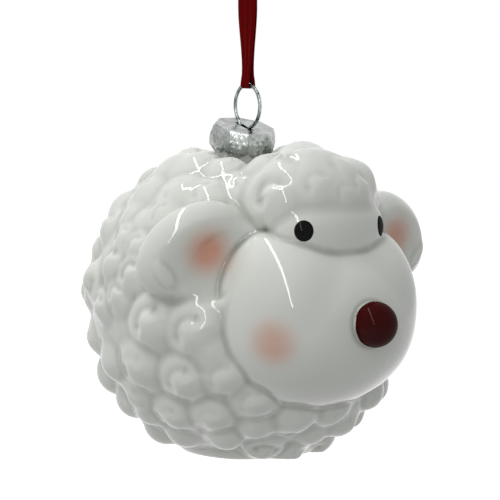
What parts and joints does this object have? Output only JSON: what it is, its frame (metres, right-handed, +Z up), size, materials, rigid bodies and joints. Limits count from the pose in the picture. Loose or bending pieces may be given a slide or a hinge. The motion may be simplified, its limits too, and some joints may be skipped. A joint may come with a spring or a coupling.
{
  "type": "hanging sheep ornament",
  "caption": "Round woolly sheep ornament in glossy white blown glass with a stamped metal cap, a wire loop and a satin ribbon to hang it by.",
  "frame": {"origin": "the hook point, under the knot inside the top of the ribbon's loop; the ornament hangs below it", "axes": "+Z up, the sheep looks along -Y, its left is +X"},
  "size_m": [0.084, 0.0968, 0.148],
  "materials": {
    "white_glass": "opaque white lacquer on blown glass, high gloss, with airbrushed pink on cheeks and ears",
    "red_enamel": "glossy dark red enamel",
    "black_enamel": "glossy black enamel",
    "cap_silver": "bright stamped sheet, lightly crumpled",
    "wire_steel": "bright drawn wire",
    "red_satin": "dark red satin ribbon"
  },
  "bodies": {
    "ribbon": {"ribbon": "red_satin", "ribbon_knot": "red_satin"},
    "hanger": {"hanger_wire": "wire_steel"},
    "cap": {"cap": "cap_silver"},
    "glass": {"glass_body": "white_glass", "nose_enamel": "red_enamel", "left_eye_enamel": "black_enamel", "right_eye_enamel": "black_enamel"}
  },
  "joints": [
    {"name": "swing", "type": "hinge", "parent": "ribbon", "child": "hanger", "pos_m": [0, 0, -0.044], "axis": [0, 1, 0], "range_deg": [-50, 50]},
    {"name": "wire_draw", "type": "slide", "parent": "hanger", "child": "cap", "axis": [0, 0.2588, -0.9659], "range_m": [0, 0.008]},
    {"name": "glass_turn", "type": "hinge", "parent": "cap", "child": "glass", "pos_m": [0, 0, -0.04925], "axis": [0, -0.2588, 0.9659], "continuous": true}
  ]
}
